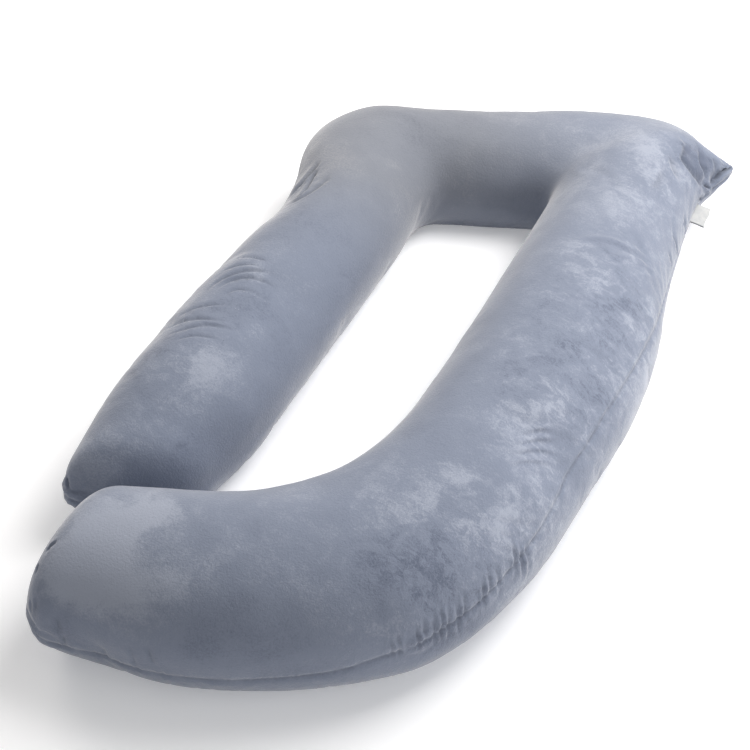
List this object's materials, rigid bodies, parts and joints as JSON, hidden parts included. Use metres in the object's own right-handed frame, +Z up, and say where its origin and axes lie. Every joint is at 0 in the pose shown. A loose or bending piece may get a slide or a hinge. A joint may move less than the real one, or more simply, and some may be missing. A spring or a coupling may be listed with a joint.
{
  "type": "full body pregnancy pillow",
  "caption": "Long stuffed velvet body pillow laid in a loop: a short arm, a head end and a longer arm that curls round below the feet.",
  "frame": {"origin": "middle of the pillow's box, on the surface it lies on", "axes": "+Y towards the head along the two arms, +X towards the long arm, +Z up"},
  "size_m": [0.767, 1.45, 0.245],
  "materials": {
    "velvet": "short soft velvet pile with brushed light and dark patches",
    "label_tape": "matt woven tape"
  },
  "bodies": {
    "root": {"pillow": "velvet", "care_label": "label_tape"}
  },
  "joints": []
}
